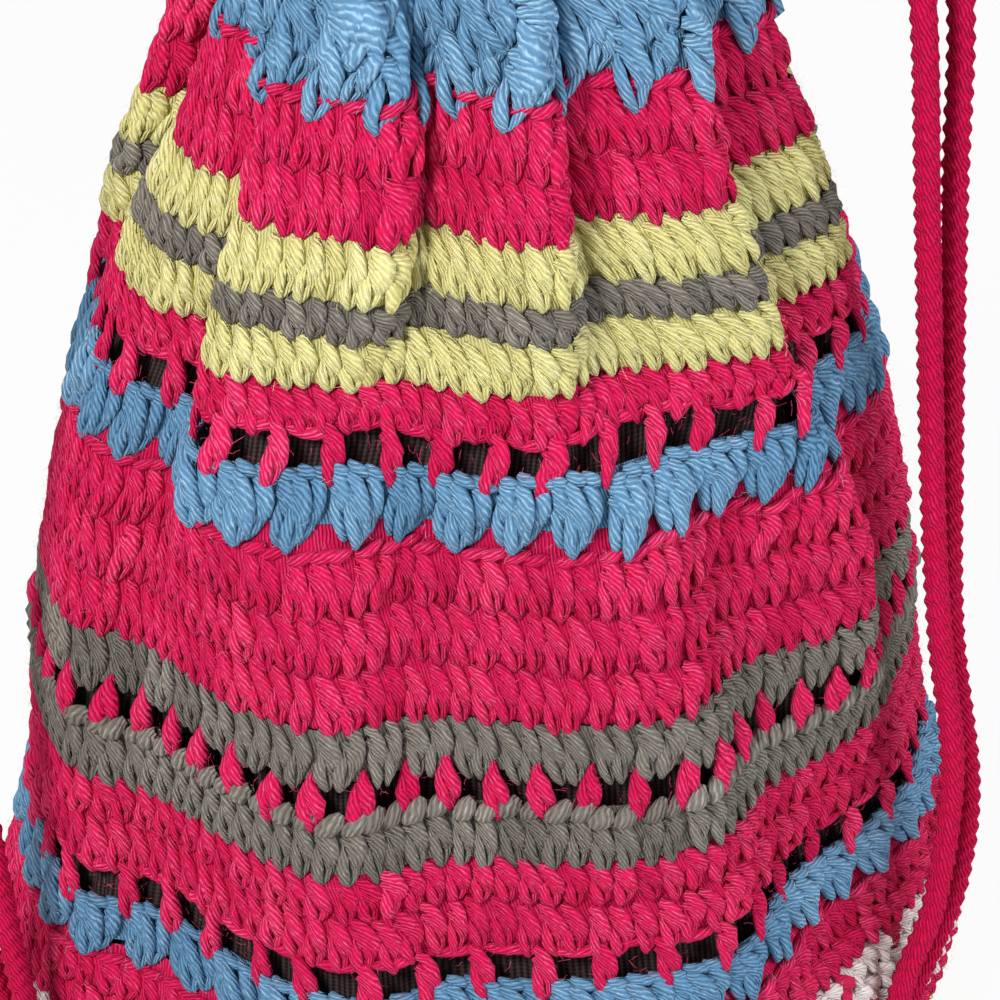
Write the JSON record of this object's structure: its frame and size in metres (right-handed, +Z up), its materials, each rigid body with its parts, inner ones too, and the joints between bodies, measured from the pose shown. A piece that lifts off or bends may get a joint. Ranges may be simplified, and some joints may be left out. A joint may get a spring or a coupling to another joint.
{
  "type": "crochet drawstring backpack",
  "caption": "Crocheted drawstring backpack in bands of pink, blue, yellow, grey and white yarn, gathered at the neck, lined, with a cord on each side.",
  "frame": {"origin": "middle of the bag's footprint, on the surface that it stands on", "axes": "+Z up through the neck, -Y towards the front of the bag, +X to the right of someone who looks at the front"},
  "size_m": [0.3129, 0.236, 0.4539],
  "materials": {
    "pink_yarn": "soft matt crocheted yarn, hot pink",
    "blue_yarn": "soft matt crocheted yarn, sky blue",
    "yellow_yarn": "soft matt crocheted yarn, pale lemon lime",
    "grey_yarn": "soft matt crocheted yarn, warm mid grey",
    "white_yarn": "soft matt crocheted yarn, warm white with small pink motifs",
    "drawcord_yarn": "soft matt crocheted cord, hot pink",
    "lining_cloth": "thin ribbed knit cloth, charcoal brown"
  },
  "bodies": {
    "root": {"pink_base": "pink_yarn", "yellow_foot_band": "yellow_yarn", "pink_foot_band": "pink_yarn", "white_patterned_band": "white_yarn", "pink_lower_band": "pink_yarn", "blue_lower_shell_row": "blue_yarn", "pink_lower_post_band": "pink_yarn", "grey_lower_row": "grey_yarn", "pink_teardrop_row": "pink_yarn", "grey_upper_row": "grey_yarn", "pink_middle_band": "pink_yarn", "blue_upper_shell_row": "blue_yarn", "pink_upper_post_band": "pink_yarn", "yellow_lower_row": "yellow_yarn", "grey_stripe_row": "grey_yarn", "yellow_upper_row": "yellow_yarn", "pink_upper_band": "pink_yarn", "blue_neck_band": "blue_yarn", "lining": "lining_cloth", "right_strap_tab": "pink_yarn", "left_strap_tab": "pink_yarn", "right_drawcord": "drawcord_yarn", "left_drawcord": "drawcord_yarn"}
  },
  "joints": []
}
